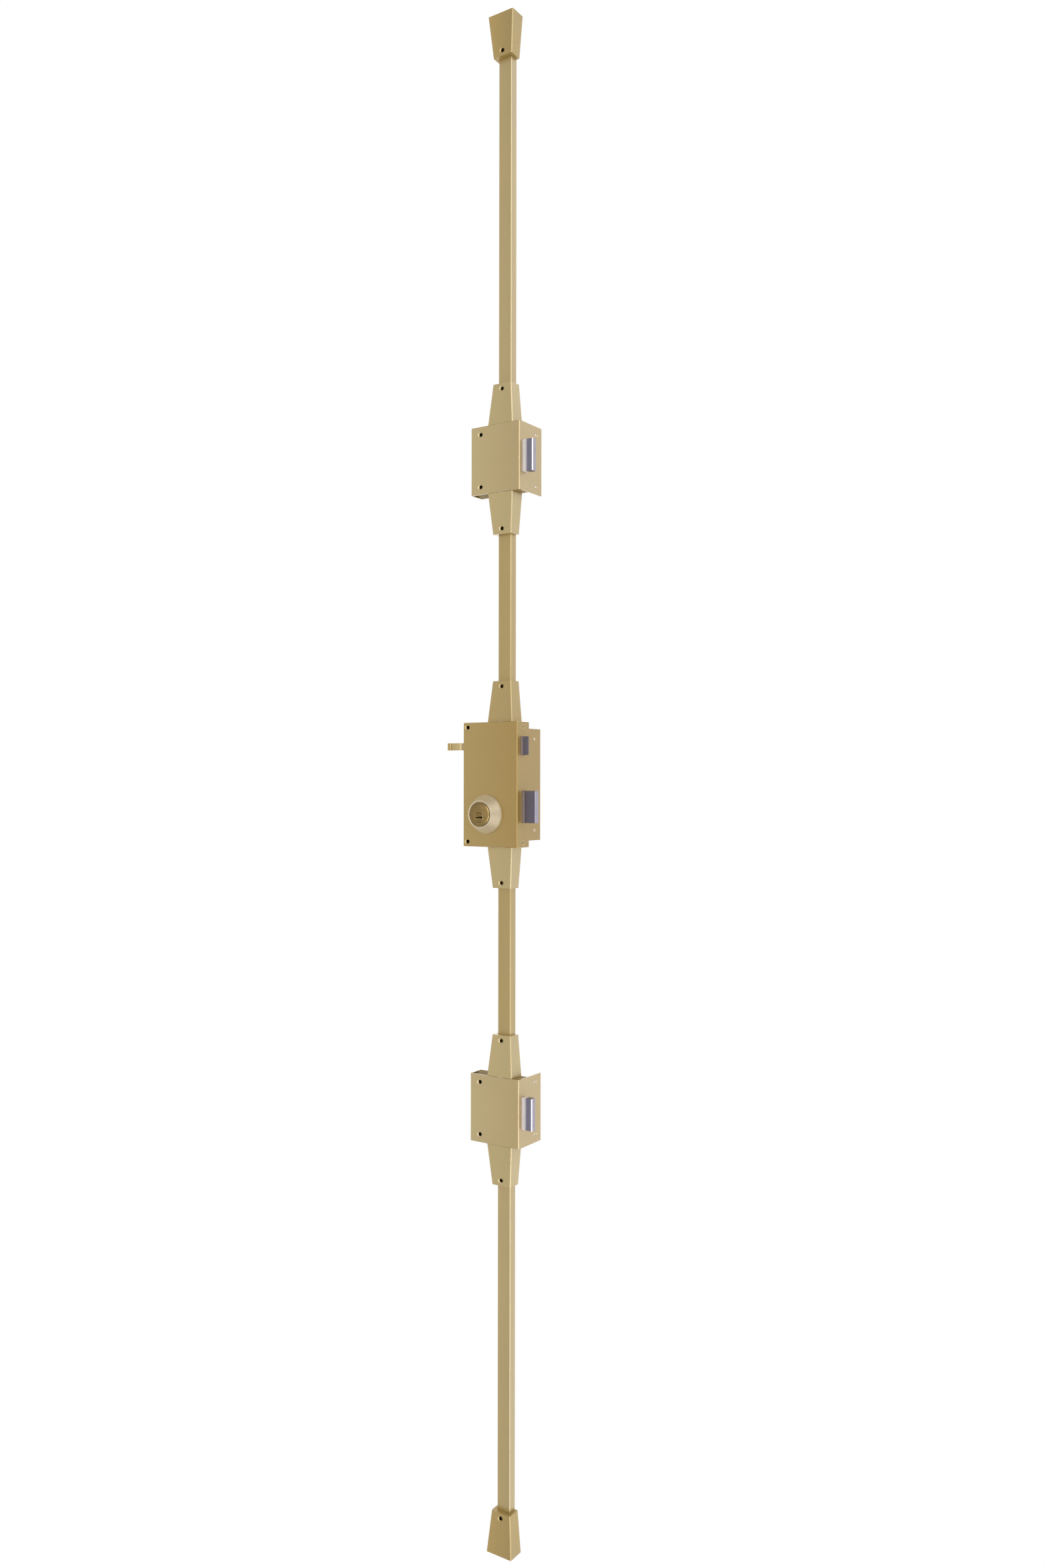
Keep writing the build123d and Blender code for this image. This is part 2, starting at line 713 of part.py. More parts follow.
# Pull: strip riveted to the latch, out through the case's left side to a curled end
pull_tip_x = case_left - pull_reach
pull_mid = (pull_depth[0] + pull_depth[1]) / 2
step_start = case_left - pull_reach * 0.22
step_end = case_left - pull_reach * 0.62
with BuildPart() as latch_pull:
    with BuildSketch(Plane.XY.offset(latch_z - pull_height / 2)):
        with BuildLine() as pull_line:
            straight = Line((latch_back_x - seat_gap, -pull_mid), (step_start, -pull_mid))
            step_centre = ((step_start + step_end) / 2, -pull_mid - pull_step / 2)
            bend_in = TangentArc(straight @ 1, step_centre, tangent=straight % 1)
            bend_out = TangentArc(bend_in @ 1, (step_end, -pull_mid - pull_step), tangent=bend_in % 1)
            run = Line(bend_out @ 1, (pull_tip_x + pull_curl_r, -pull_mid - pull_step))
            CenterArc((pull_tip_x + pull_curl_r, -pull_mid - pull_step - pull_curl_r), pull_curl_r, 90, 150)
        trace(pull_line.line, line_width=pull_thick)
    extrude(amount=pull_height)
    for side in (0.25, 0.75):
        rod_along_y(
            latch_back_x - latch_tail_length * side,
            latch_z,
            latch_rivet_r + press_gap,
            (pull_depth[0] - 1, pull_depth[1] + 1),
            mode=Mode.SUBTRACT,
        )
save(latch_pull, "latch_pull")

with BuildPart() as latch_rivets:
    for side in (0.25, 0.75):
        rod_along_y(
            latch_back_x - latch_tail_length * side,
            latch_z,
            latch_rivet_r,
            (pull_depth[0], latch_depth[1]),
        )
save(latch_rivets, "latch_rivets")

# Bracket that guides the pull and holds the latch spring
with BuildPart() as latch_bracket:
    bracket_z = (latch_z - bracket_height / 2, latch_z + bracket_height / 2)
    slab((bracket_x, bracket_x + sheet), (sheet, bracket_depth), bracket_z)
    slab((bracket_x - bracket_foot, bracket_x), (sheet, 2 * sheet), bracket_z)
    with Locations((bracket_x + sheet + latch_peg_length / 2, -spring_depth, latch_z)):
        Cylinder(latch_peg_r, latch_peg_length, rotation=(0, 90, 0))
    slab(
        (bracket_x - sheet, bracket_x + 2 * sheet),
        (pull_depth[0] - slide_gap, pull_depth[1] + slide_gap),
        (latch_z - pull_height / 2 - slide_gap, latch_z + pull_height / 2 + slide_gap),
        mode=Mode.SUBTRACT,
    )
save(latch_bracket, "latch_bracket")

# Latch spring, from the bracket to the back of the latch's head
spring_start = bracket_x + sheet + spring_wire_r + seat_gap
spring_end = latch_back_x - spring_wire_r - seat_gap
with BuildPart() as latch_spring:
    with BuildLine() as coil:
        Helix(
            pitch=(spring_end - spring_start) / spring_turns,
            height=spring_end - spring_start,
            radius=spring_r,
            center=(spring_start, -spring_depth, latch_z),
            direction=(1, 0, 0),
        )
    with BuildSketch(Plane(coil.line @ 0, z_dir=coil.line % 0)):
        Circle(spring_wire_r)
    sweep(is_frenet=True)
save(latch_spring, "latch_spring")


def rack_strip(pitch_x, side, z_low, z_high, lap, lap_x, phase_sign):
    """A rack beside the pinion, side 1 with teeth to +X, and the plate that laps its rod."""
    root_x = pitch_x - side * dedendum
    back_x = pitch_x - side * rack_width
    teeth = int(travel / tooth_pitch) + 4
    with BuildPart() as rack:
        slab(sorted((back_x, root_x)), (rod_back, rod_front), (z_low, z_high))
        centres = [axle_rise + phase_sign * (i - 1.5) * tooth_pitch for i in range(teeth)]
        with BuildSketch(Plane.XZ.offset(rod_back)):
            with Locations(*[(pitch_x, z) for z in centres]):
                Polygon(*rack_tooth(), rotation=-90 * side, align=None)
        extrude(amount=rod_thick)
        slab(lap_x, (rod_front, lap_front), lap)
    return rack


def lap_holes(places):
    """Holes for flush rivets through a plate and the rod behind it, in the open part."""
    for z in places:
        rod_along_y(rod_x, z, rivet_r + press_gap, (rod_back - 1, lap_front + 1), mode=Mode.SUBTRACT)


upper_lap_z = (upper_rod_start + upper_lap_end) / 2
lower_lap_z = -(lower_rod_start + lower_lap_end) / 2
lap_rivet_z = {
    "upper": (upper_lap_z - rivet_offset, upper_lap_z + rivet_offset),
    "lower": (lower_lap_z - rivet_offset, lower_lap_z + rivet_offset),
}
upper_strip = rack_strip(
    upper_pitch_x,
    1,
    -upper_rack_foot,
    upper_rod_start - end_gap,
    (upper_lap_start, upper_lap_end),
    (upper_pitch_x - rack_width, rod_right),
    1,
)
with BuildPart() as upper_rack:
    add(upper_strip.part)
    lap_holes(lap_rivet_z["upper"])
save(upper_rack, "upper_rack")

lower_strip = rack_strip(
    lower_pitch_x,
    -1,
    -lower_rod_start + end_gap,
    lower_rack_head,
    (-lower_lap_end, -lower_lap_start),
    (lower_lap_left, lower_pitch_x + rack_width),
    -1,
)
with BuildPart() as lower_rack:
    add(lower_strip.part)
    lap_holes(lap_rivet_z["lower"])
save(lower_rack, "lower_rack")

# Rods: flat bars from the case, through a side box and past the end cap
cam_low = 12.0
cam_high = travel + 2 * cam_wall + drive_pin_r
cam_rivet_low = 8.0
cam_rivet_high = travel + cam_wall + rivet_r
rod_end = lock_height / 2 + rod_overrun
boxes = {"upper": 1, "lower": -1}
rod_start = {"upper": upper_rod_start, "lower": -lower_rod_start}
for name, up in boxes.items():
    box_z = middle + up * box_spacing
    rivet_z = (box_z - up * cam_rivet_low, box_z + up * cam_rivet_high)
    with BuildPart() as rod:
        slab((rod_left, rod_right), (rod_back, rod_front), sorted((rod_start[name], middle + up * rod_end)))
        tip = rod.faces().sort_by(Axis.Z)[-1 if up > 0 else 0]
        chamfer(tip.edges(), rod_tip_chamfer)
        lap_holes(lap_rivet_z[name] + rivet_z)
    save(rod, f"{name}_rod")

    with BuildPart() as rivets:
        for z in lap_rivet_z[name] + rivet_z:
            rod_along_y(rod_x, z, rivet_r, (rod_back, lap_front))
    save(rivets, f"{name}_rod_rivets")

    # Slotted plate on the rod that moves the side bolt
    with BuildPart() as cam:
        cam_left = rod_x - side_bolt_travel - drive_pin_r - cam_wall
        slab(
            (cam_left, rod_x + cam_right),
            (rod_front, lap_front),
            sorted((box_z - up * cam_low, box_z + up * cam_high)),
        )
        with BuildSketch(Plane.XZ.offset(rod_front)):
            with Locations((rod_x - side_bolt_travel / 2, box_z + up * travel / 2)):
                SlotCenterToCenter(
                    hypot(side_bolt_travel, travel) + slide_gap,
                    2 * (drive_pin_r + drive_pin_gap),
                    rotation=degrees(atan2(up * travel, -side_bolt_travel)),
                )
        extrude(amount=lap_thick, mode=Mode.SUBTRACT)
        lap_holes(rivet_z)
    save(cam, f"{name}_cam_plate")

# Side boxes: folded cover, base plate, bolt, drive pin, posts and spacers
box_screw_x = box_left + box_screw_inset_x
box_front_inside = box_depth - sheet
flange_front = box_front_inside - seat_gap
side_tail_depth = (side_bolt_front - side_tail_thick, side_bolt_front)
side_head_x = backset - side_head_inside
post_offset = side_tail_height / 2 + drive_pin_gap + guide_post_r
for name, up in boxes.items():
    box_z = middle + up * box_spacing
    box_edge = (box_z - box_height / 2, box_z + box_height / 2)
    bolt_edge = (box_z - side_bolt_height / 2, box_z + side_bolt_height / 2)
    screw_z = (box_z - box_screw_spacing / 2, box_z + box_screw_spacing / 2)
    post_z = (box_z - post_offset, box_z + post_offset)
    with BuildPart() as box_cover:
        slab((box_left, backset), (-plate_reach, box_depth), box_edge)
        fillet(box_cover.edges().filter_by(Axis.Z).group_by(Axis.Y)[0], bend)
        slab(
            (box_left + sheet, backset - sheet),
            (-plate_reach - 1, box_front_inside),
            (box_edge[0] - 1, box_edge[1] + 1),
            mode=Mode.SUBTRACT,
        )
        slab(
            (box_left - 1, box_left + 2 * sheet),
            (-plate_reach - 1, 0),
            (box_edge[0] - 1, box_edge[1] + 1),
            mode=Mode.SUBTRACT,
        )
        slab(
            (backset - 2 * sheet, backset + sheet),
            (side_bolt_front - side_bolt_thick - slide_gap, side_bolt_front + slide_gap),
            (bolt_edge[0] - slide_gap, bolt_edge[1] + slide_gap),
            mode=Mode.SUBTRACT,
        )
        for z in screw_z:
            sunk_hole(front_plane(box_screw_x, box_depth, z), sheet)
        for z in (box_z - plate_screw_spacing / 2, box_z + plate_screw_spacing / 2):
            edge_place = Plane(origin=(backset, plate_screw_reach, z), z_dir=(1, 0, 0))
            sunk_hole(edge_place, sheet, small_hole_r, small_sink_r)
    save(box_cover, f"{name}_box_cover")

    with BuildPart() as box_base:
        base_left = box_left + sheet + seat_gap
        base_edge = (box_edge[0] + seat_gap, box_edge[1] - seat_gap)
        slab((base_left, base_right), (0, sheet), base_edge)
        for flange_z in ((base_edge[0], base_edge[0] + sheet), (base_edge[1] - sheet, base_edge[1])):
            slab((base_left, base_right), (0, flange_front), flange_z)
        slab(
            (base_left - 1, base_left + flange_notch),
            (flange_front - flange_notch_depth, box_depth),
            (base_edge[0] - 1, base_edge[1] + 1),
            mode=Mode.SUBTRACT,
        )
        slab(
            (rod_left - slide_gap, rod_right + slide_gap),
            (sheet, box_depth),
            (base_edge[0] - 1, base_edge[1] + 1),
            mode=Mode.SUBTRACT,
        )
        for z in screw_z:
            rod_along_y(box_screw_x, z, screw_hole_r, (-1, 2 * sheet), mode=Mode.SUBTRACT)
        for z in post_z:
            rod_along_y(side_post_x, z, guide_post_r / 2, (-1, 2 * sheet), mode=Mode.SUBTRACT)
    save(box_base, f"{name}_box_base")

    with BuildPart() as box_bolt:
        slab(
            (side_head_x, backset + side_bolt_travel),
            (side_bolt_front - side_bolt_thick, side_bolt_front),
            bolt_edge,
        )
        chamfer(box_bolt.edges().filter_by(Axis.Z).group_by(Axis.X)[-1], bolt_chamfer)
        chamfer(box_bolt.edges().filter_by(Axis.X).group_by(Axis.Y)[0], bolt_edge_chamfer)
        slab(
            (side_tail_left, side_head_x),
            side_tail_depth,
            (box_z - side_tail_height / 2, box_z + side_tail_height / 2),
        )
        rod_along_y(
            rod_x,
            box_z,
            drive_pin_r + press_gap,
            (side_tail_depth[0] - 1, side_bolt_front + 1),
            mode=Mode.SUBTRACT,
        )
    save(box_bolt, f"{name}_box_bolt")

    with BuildPart() as drive_pin:
        rod_along_y(rod_x, box_z, drive_pin_r, (rod_front + slide_gap, side_bolt_front))
    save(drive_pin, f"{name}_drive_pin")

    with BuildPart() as box_posts:
        for z in post_z:
            rod_along_y(side_post_x, z, guide_post_r / 2 - press_gap, (0, sheet))
            rod_along_y(side_post_x, z, guide_post_r, (sheet, side_bolt_front + slide_gap))
            rod_along_y(
                side_post_x,
                z,
                guide_head_r,
                (side_bolt_front + slide_gap, side_bolt_front + slide_gap + guide_head_thick),
            )
    save(box_posts, f"{name}_box_posts")

    with BuildPart() as box_pillars:
        for z in screw_z:
            rod_along_y(box_screw_x, z, pillar_r, (sheet, box_front_inside))
            rod_along_y(box_screw_x, z, screw_hole_r, (sheet, box_front_inside), mode=Mode.SUBTRACT)
    save(box_pillars, f"{name}_box_pillars")

# Tapered covers: the wide end faces a box, the case or the end of the door
lock_top = middle + lock_height / 2
lock_bottom = middle - lock_height / 2
upper_box_z = middle + box_spacing
lower_box_z = middle - box_spacing
half_box = box_height / 2 + cover_gap
tapers = {
    "top_cap": (lock_top, -1),
    "upper_box_top_cover": (upper_box_z + half_box, 1),
    "upper_box_bottom_cover": (upper_box_z - half_box, -1),
    "case_top_cover": (case_top + cover_gap, 1),
    "case_bottom_cover": (case_bottom - cover_gap, -1),
    "lower_box_top_cover": (lower_box_z + half_box, 1),
    "lower_box_bottom_cover": (lower_box_z - half_box, -1),
    "bottom_cap": (lock_bottom, 1),
}
taper_tilt = degrees(atan2(taper_wide_depth - taper_narrow_depth, taper_length))


def taper_depth_at(from_narrow):
    """Outer depth of a tapered cover, that far from its narrow end."""
    return taper_narrow_depth + (taper_wide_depth - taper_narrow_depth) * from_narrow / taper_length


def taper_section(z, width, depth):
    """One end of a tapered cover's outline, its open side on the door."""
    with BuildSketch(Plane.XY.offset(z)) as section:
        with Locations((rod_x, -depth / 2)):
            Rectangle(width, depth)
    return section.sketch


for name, (wide_z, narrowing) in tapers.items():
    narrow_z = wide_z + narrowing * taper_length
    inner_end_z = narrow_z - narrowing * taper_wall
    with BuildPart() as taper:
        loft(
            [
                taper_section(wide_z, taper_wide, taper_wide_depth),
                taper_section(narrow_z, taper_narrow, taper_narrow_depth),
            ]
        )
        front_edges = taper.edges().filter_by(lambda e: abs(e.tangent_at(0.5).Z) > 0.9)
        fillet(front_edges.group_by(Axis.Y)[0], bend)
        loft(
            [
                taper_section(
                    wide_z - narrowing * taper_wall,
                    taper_wide - 2 * taper_wall + taper_wall * (taper_wide - taper_narrow) / taper_length,
                    taper_wide_depth - taper_wall,
                ),
                taper_section(
                    inner_end_z, taper_narrow - 2 * taper_wall, taper_narrow_depth - taper_wall
                ),
            ],
            mode=Mode.SUBTRACT,
        )
        slab(
            (rod_x - channel_width / 2 - slide_gap, rod_x + channel_width / 2 + slide_gap),
            (-1, channel_depth + slide_gap),
            sorted((narrow_z + narrowing, inner_end_z - narrowing)),
            mode=Mode.SUBTRACT,
        )
        hole_z = narrow_z - narrowing * taper_screw_inset
        tilt = radians(taper_tilt)
        outward = (0, -cos(tilt), narrowing * sin(tilt))
        hole_place = Plane(
            origin=(rod_x, -taper_depth_at(taper_screw_inset), hole_z), x_dir=(1, 0, 0), z_dir=outward
        )
        sunk_hole(hole_place, taper_wall)
    save(taper, name)


def span_from(narrow_z, narrowing, near, far):
    """Two heights in a tapered cover, from distances past its narrow end, low one first."""
    return sorted((narrow_z - narrowing * near, narrow_z - narrowing * far))


# Saddles under the tapered covers, which hold the channels' ends, and rod guides
saddle_inner = channel_width / 2 + slide_gap
saddle_outer = saddle_inner + saddle_wall
saddle_front = taper_depth_at(saddle_start) - taper_wall - slide_gap
with BuildPart() as cover_saddles:
    for wide_z, narrowing in tapers.values():
        narrow_z = wide_z + narrowing * taper_length
        base_z = span_from(narrow_z, narrowing, saddle_base_start, saddle_base_end)
        front_z = span_from(narrow_z, narrowing, saddle_start, saddle_start + saddle_front_length)
        side_z = span_from(narrow_z, narrowing, saddle_start, saddle_start + saddle_side_length)
        slab((rod_x - saddle_outer, rod_x + saddle_outer), (0, sheet), base_z)
        for side in (-1, 1):
            wall_x = sorted((rod_x + side * saddle_inner, rod_x + side * saddle_outer))
            slab(wall_x, (0, saddle_front), front_z)
            slab(wall_x, (0, channel_depth), side_z)
        slab(
            (rod_x - saddle_inner, rod_x + saddle_inner),
            (saddle_front - saddle_wall, saddle_front),
            front_z,
        )
        rod_along_y(
            rod_x,
            narrow_z - narrowing * taper_screw_inset,
            saddle_thread_r,
            (saddle_front - 2 * saddle_wall, saddle_front + 1),
            mode=Mode.SUBTRACT,
        )
        for from_narrow in (saddle_first_screw, saddle_first_screw + saddle_screw_spacing):
            place = front_plane(rod_x, sheet, narrow_z - narrowing * from_narrow)
            sunk_hole(place, sheet, small_hole_r, small_sink_r)
save(cover_saddles, "cover_saddles")

with BuildPart() as rod_guides:
    for wide_z, narrowing in tapers.values():
        narrow_z = wide_z + narrowing * taper_length
        guide_z = span_from(
            narrow_z, narrowing, rod_guide_start, rod_guide_start + rod_guide_length
        )
        slab(
            (rod_x - saddle_inner + seat_gap, rod_x + saddle_inner - seat_gap),
            (sheet, rod_guide_depth),
            guide_z,
        )
        slab(
            (rod_left - slide_gap, rod_right + slide_gap),
            (sheet - 1, rod_front + slide_gap),
            guide_z,
            mode=Mode.SUBTRACT,
        )
save(rod_guides, "rod_guides")

# Channels over the rods, between the tapered covers
channel_entry = saddle_base_start - seat_gap
narrow_ends = {name: wide_z + narrowing * taper_length for name, (wide_z, narrowing) in tapers.items()}
channels = {
    "top_channel": ("upper_box_top_cover", "top_cap"),
    "upper_channel": ("case_top_cover", "upper_box_bottom_cover"),
    "lower_channel": ("lower_box_top_cover", "case_bottom_cover"),
    "bottom_channel": ("bottom_cap", "lower_box_bottom_cover"),
}
for name, (below, above) in channels.items():
    low = narrow_ends[below] - channel_entry
    high = narrow_ends[above] + channel_entry
    with BuildPart() as channel:
        slab((rod_x - channel_width / 2, rod_x + channel_width / 2), (0, channel_depth), (low, high))
        fillet(channel.edges().filter_by(Axis.Z).group_by(Axis.Y)[0], channel_wall)
        slab(
            (rod_x - channel_width / 2 + channel_wall, rod_x + channel_width / 2 - channel_wall),
            (-1, channel_depth - channel_wall),
            (low - 1, high + 1),
            mode=Mode.SUBTRACT,
        )
    save(channel, name)

print(f"travel of the rods and the dead bolt {travel:.4f} mm, module {gear_module:.5f} mm")
print(f"side bolt ratio {side_bolt_travel / travel:.6f}, middle of the case z {middle:.3f} mm")
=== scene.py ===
"""Looks of the five-point rim lock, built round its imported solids. Metres, +Z up."""
import json
import math

import bmesh
import bpy
from mathutils import Matrix, Vector


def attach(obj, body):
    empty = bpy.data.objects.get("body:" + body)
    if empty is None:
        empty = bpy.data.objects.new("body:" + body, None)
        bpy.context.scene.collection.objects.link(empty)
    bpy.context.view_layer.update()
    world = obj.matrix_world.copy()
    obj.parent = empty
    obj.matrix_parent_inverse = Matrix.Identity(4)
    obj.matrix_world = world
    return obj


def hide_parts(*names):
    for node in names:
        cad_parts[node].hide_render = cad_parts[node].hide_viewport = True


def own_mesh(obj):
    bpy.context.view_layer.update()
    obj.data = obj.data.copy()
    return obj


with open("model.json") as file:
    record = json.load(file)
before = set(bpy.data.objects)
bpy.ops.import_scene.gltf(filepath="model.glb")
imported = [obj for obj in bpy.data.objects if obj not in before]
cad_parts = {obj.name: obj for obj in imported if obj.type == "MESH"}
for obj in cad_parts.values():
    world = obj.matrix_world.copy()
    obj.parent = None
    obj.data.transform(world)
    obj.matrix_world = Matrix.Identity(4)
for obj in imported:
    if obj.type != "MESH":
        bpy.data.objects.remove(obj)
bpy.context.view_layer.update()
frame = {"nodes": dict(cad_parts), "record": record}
nodes = frame["nodes"]
slot_of = {s["node"]: s["material_slot"] for s in frame["record"]["subparts"]}

MM = 0.001
WHITE = (1.0, 1.0, 1.0, 1.0)


# Materials
def linear(r, g, b):
    """An sRGB colour of 0 to 255 as linear values."""
    def one(c):
        c /= 255.0
        return c / 12.92 if c <= 0.04045 else ((c + 0.055) / 1.055) ** 2.4
    return (one(r), one(g), one(b), 1.0)


class Graph:
    """A material's node tree, with short calls to add and join nodes.

    Noise and spots are scaled by their number per metre.
    """

    def __init__(self, name):
        self.material = bpy.data.materials.new(name)
        self.material.use_nodes = True
        self.tree = self.material.node_tree
        self.tree.nodes.clear()
        self.out = self.add("ShaderNodeOutputMaterial")
        self.shader = self.add("ShaderNodeBsdfPrincipled")
        self.join(self.shader.outputs["BSDF"], self.out.inputs["Surface"])
        self.coords = self.add("ShaderNodeTexCoord").outputs["Object"]

    def add(self, kind, **settings):
        node = self.tree.nodes.new(kind)
        for key, value in settings.items():
            setattr(node, key, value)
        return node

    def join(self, a, b):
        self.tree.links.new(a, b)

    def set(self, **values):
        """Sets the shader's own sockets by name, with _ for a space."""
        for key, value in values.items():
            self.shader.inputs[key.replace("_", " ")].default_value = value

    def axis(self, letter):
        """One object coordinate, in metres."""
        node = self.add("ShaderNodeSeparateXYZ")
        self.join(self.coords, node.inputs["Vector"])
        return node.outputs[letter]

    def stretched(self, x, y, z):
        """Object coordinates scaled by a factor on each axis."""
        node = self.add("ShaderNodeMapping")
        node.inputs["Scale"].default_value = (x, y, z)
        self.join(self.coords, node.inputs["Vector"])
        return node.outputs["Vector"]

    def noise(self, scale, detail=2.0, rough=0.5, vector=None):
        node = self.add("ShaderNodeTexNoise")
        node.inputs["Scale"].default_value = scale
        node.inputs["Detail"].default_value = detail
        node.inputs["Roughness"].default_value = rough
        self.join(vector or self.coords, node.inputs["Vector"])
        return node.outputs["Fac"]

    def spots(self, scale):
        node = self.add("ShaderNodeTexVoronoi")
        node.inputs["Scale"].default_value = scale
        self.join(self.coords, node.inputs["Vector"])
        return node.outputs["Distance"]

    def rings(self, centre, scale):
        """Noise that changes only with the distance from an axis along Y, at (x, z) in mm."""
        flat = self.add("ShaderNodeMapping")
        flat.inputs["Location"].default_value = (-centre[0] * MM, 0.0, -centre[1] * MM)
        flat.inputs["Scale"].default_value = (1.0, 0.0, 1.0)
        self.join(self.coords, flat.inputs["Vector"])
        radius = self.add("ShaderNodeVectorMath", operation="LENGTH")
        self.join(flat.outputs["Vector"], radius.inputs[0])
        node = self.add("ShaderNodeTexNoise", noise_dimensions="1D")
        node.inputs["Scale"].default_value = scale
        self.join(radius.outputs["Value"], node.inputs["W"])
        return node.outputs["Fac"]

    def ramp(self, value, *stops):
        """A value turned into a colour by stops of (place, colour)."""
        node = self.add("ShaderNodeValToRGB")
        stretch = node.color_ramp.elements
        while len(stretch) < len(stops):
            stretch.new(0.5)
        for element, (place, colour) in zip(stretch, stops):
            element.position = place
            element.color = colour
        self.join(value, node.inputs["Fac"])
        return node.outputs["Color"]

    def fit(self, value, low, high, start=0.3, end=0.7):
        """A value between start and end moved to the range low to high."""
        node = self.add("ShaderNodeMapRange")
        node.inputs["From Min"].default_value = start
        node.inputs["From Max"].default_value = end
        node.inputs["To Min"].default_value = low
        node.inputs["To Max"].default_value = high
        self.join(value, node.inputs["Value"])
        return node.outputs["Result"]

    def blend(self, share, first, second, mode="MIX"):
        """Two colours mixed, with a share of the second that is a number or a socket."""
        node = self.add("ShaderNodeMix", data_type="RGBA", blend_type=mode)
        colours = [socket for socket in node.inputs if socket.type == "RGBA"]
        self.join(first, colours[0])
        self.join(second, colours[1])
        if isinstance(share, float):
            node.inputs[0].default_value = share
        else:
            self.join(share, node.inputs[0])
        return next(socket for socket in node.outputs if socket.type == "RGBA")

    def times(self, first, second):
        """Two colours multiplied."""
        return self.blend(1.0, first, second, "MULTIPLY")

    def bump(self, height, strength, depth, under=None):
        """A normal bent by a height with its depth in metres, over another normal if given."""
        node = self.add("ShaderNodeBump")
        node.inputs["Strength"].default_value = strength
        node.inputs["Distance"].default_value = depth
        self.join(height, node.inputs["Height"])
        if under is not None:
            self.join(under, node.inputs["Normal"])
        return node.outputs["Normal"]


def shade(colour, factor):
    """A colour made lighter or darker."""
    return tuple(c * factor for c in colour[:3]) + (1.0,)


def paint(
    name, colour, metallic=0.22, rough=0.46, coat=1.0, skin=0.18, shade_leans=(), shade_below=None, shine=0.5
):
    """Bronze-gold epoxy paint: fine metal flake under a satin skin, slightly uneven.

    skin is the roughness of the clear skin. Each of leans is (axis, start, end, factor), a painted
    shade: the colour moves to factor times itself between the two places, in mm. pit is the X in
    mm below which a recess is painted dark, a painted shade.
    """
    g = Graph(name)
    g.set(Metallic=metallic, Coat_Weight=coat, Coat_Roughness=skin, Coat_IOR=1.5, IOR=1.5)
    g.set(Specular_IOR_Level=shine)
    flake = g.spots(1900.0)
    cloud = g.noise(14.0, 4.0)
    peel = g.noise(620.0, 3.0)
    speckle = g.ramp(flake, (0.1, shade(colour, 1.06)), (0.55, colour), (0.9, shade(colour, 0.94)))
    drift = g.ramp(cloud, (0.3, shade(colour, 0.95)), (0.7, shade(colour, 1.05)))
    tone = g.blend(0.5, speckle, drift)
    # Painted shade: each lean darkens the colour along one axis
    for letter, start, end, factor in shade_leans:
        across = g.fit(g.axis(letter), 0.0, 1.0, start * MM, end * MM)
        tone = g.times(tone, g.ramp(across, (0.0, WHITE), (1.0, (*factor, 1.0))))
    # Painted shade: a recess painted dark below an X
    if shade_below:
        depth = g.fit(g.axis("X"), 0.0, 1.0, (shade_below - 0.4) * MM, shade_below * MM)
        tone = g.times(tone, g.ramp(depth, (0.0, (0.08, 0.07, 0.05, 1.0)), (1.0, WHITE)))
    g.join(tone, g.shader.inputs["Base Color"])
    g.join(g.fit(peel, rough - 0.04, rough + 0.05), g.shader.inputs["Roughness"])
    fine = g.bump(peel, 0.14, 0.00005)
    g.join(g.bump(flake, 0.08, 0.00003, under=fine), g.shader.inputs["Normal"])
    return g.material


def brushed(name, colour, rough, along, marks=0.5, shade_past=None):
    """Plated or machined steel with fine lines; the lines run along the axis scaled least.

    shade_past is the depth in mm beyond which the plate is painted dark, a painted shade seen
    through a screw hole.
    """
    g = Graph(name)
    g.set(Metallic=1.0)
    lines = g.noise(900.0, 4.0, 0.6, vector=g.stretched(*along))
    cloud = g.noise(60.0, 4.0, 0.6)
    dark, light = shade(colour, 1 - 0.12 * marks), shade(colour, 1 + 0.1 * marks)
    tone = g.ramp(lines, (0.35, dark), (0.65, light))
    stain = g.ramp(cloud, (0.3, shade(colour, 0.92)), (0.7, shade(colour, 1.05)))
    tone = g.blend(0.45, tone, stain)
    # Painted shade: the plate darkened beyond a depth
    if shade_past:
        depth = g.fit(g.axis("Y"), 0.0, 1.0, -(shade_past + 1) * MM, -shade_past * MM)
        tone = g.times(tone, g.ramp(depth, (0.0, (0.05, 0.045, 0.04, 1.0)), (1.0, WHITE)))
    g.join(tone, g.shader.inputs["Base Color"])
    g.join(g.fit(lines, rough - 0.06, rough + 0.08), g.shader.inputs["Roughness"])
    g.join(g.bump(lines, 0.25 * marks, 0.00003), g.shader.inputs["Normal"])
    return g.material


def banded(name, stops, white_reflection_to=50.0):
    """A plated bolt with fine upright grinding lines and painted reflections, set along X by (mm,
    colour).

    Up to white_reflection_to, in mm of X, the face is a plain satin white without metal
    reflections: a painted reflection of the white room.
    """
    g = Graph(name)
    metallic = g.fit(g.axis("X"), 0.0, 0.35, (white_reflection_to - 1.0) * MM, white_reflection_to * MM)
    g.join(metallic, g.shader.inputs["Metallic"])
    low, high = stops[0][0], stops[-1][0]
    across = g.fit(g.axis("X"), 0.0, 1.0, low * MM, high * MM)
    tone = g.ramp(across, *[((x - low) / (high - low), linear(*colour)) for x, colour in stops])
    lines = g.noise(1100.0, 3.0, 0.6, vector=g.stretched(1, 1, 0.03))
    cloud = g.noise(90.0, 4.0, 0.6)
    grain = g.ramp(lines, (0.3, (0.92, 0.92, 0.92, 1.0)), (0.7, WHITE))
    stain = g.ramp(cloud, (0.3, (0.94, 0.94, 0.95, 1.0)), (0.7, WHITE))
    tone = g.blend(0.5, tone, g.times(tone, grain))
    g.join(g.times(tone, stain), g.shader.inputs["Base Color"])
    g.join(g.fit(lines, 0.25, 0.36), g.shader.inputs["Roughness"])
    g.join(g.bump(lines, 0.075, 0.00003), g.shader.inputs["Normal"])
    return g.material


